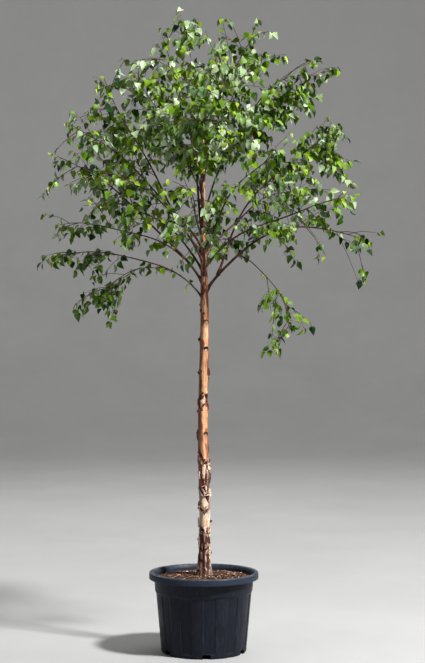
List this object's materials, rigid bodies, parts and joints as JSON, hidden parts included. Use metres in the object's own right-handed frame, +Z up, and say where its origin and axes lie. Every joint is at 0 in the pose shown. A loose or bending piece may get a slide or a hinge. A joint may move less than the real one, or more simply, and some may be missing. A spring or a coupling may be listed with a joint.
{
  "type": "potted birch tree",
  "caption": "Young birch grown as a standard in a round ribbed plastic container: one clear copper-barked stem under a broad open head of arching boughs with small pointed leaves.",
  "frame": {"origin": "middle of the container's flat underside, which stands on the ground", "axes": "+Z up along the stem, +X to the right and +Y to the back as seen from the front, where the stem's leader leans to the left"},
  "size_m": [1.5584, 1.4909, 2.9425],
  "materials": {
    "pot": "injection moulded, slate black, lightly scuffed",
    "growing_medium": "loose bark chips, matt",
    "trunk_bark": "smooth copper bark that peels in curls, pale grey and fissured at the foot",
    "bough_bark": "dark red-brown, satin",
    "leaves": "thin, mid green, satin above"
  },
  "bodies": {
    "root": {"pot": "pot", "growing_medium": "growing_medium", "trunk": "trunk_bark", "bough_low_left": "bough_bark", "bough_low_right": "bough_bark", "bough_low_back": "bough_bark", "bough_left": "bough_bark", "bough_low_front": "bough_bark", "bough_back_left": "bough_bark", "bough_right": "bough_bark", "bough_front_left": "bough_bark", "bough_back_right": "bough_bark", "bough_high_left": "bough_bark", "bough_front_right": "bough_bark", "bough_mid_left": "bough_bark", "bough_upright_left": "bough_bark", "bough_front": "bough_bark", "bough_upright_right": "bough_bark", "bough_back": "bough_bark", "bough_crest_left": "bough_bark", "bough_crest_front": "bough_bark", "bough_crest_back": "bough_bark", "bough_crest_right": "bough_bark", "bough_top_right": "bough_bark", "bough_fork_right": "bough_bark", "bough_weeping_right": "bough_bark", "bough_fork_left": "bough_bark", "bough_weeping_left": "bough_bark", "foliage_leader": "leaves", "foliage_low_left": "leaves", "foliage_low_right": "leaves", "foliage_low_back": "leaves", "foliage_left": "leaves", "foliage_low_front": "leaves", "foliage_back_left": "leaves", "foliage_right": "leaves", "foliage_front_left": "leaves", "foliage_back_right": "leaves", "foliage_high_left": "leaves", "foliage_front_right": "leaves", "foliage_mid_left": "leaves", "foliage_upright_left": "leaves", "foliage_front": "leaves", "foliage_upright_right": "leaves", "foliage_back": "leaves", "foliage_crest_left": "leaves", "foliage_crest_front": "leaves", "foliage_crest_back": "leaves", "foliage_crest_right": "leaves", "foliage_top_right": "leaves", "foliage_fork_right": "leaves", "foliage_weeping_right": "leaves", "foliage_fork_left": "leaves", "foliage_weeping_left": "leaves"}
  },
  "joints": []
}
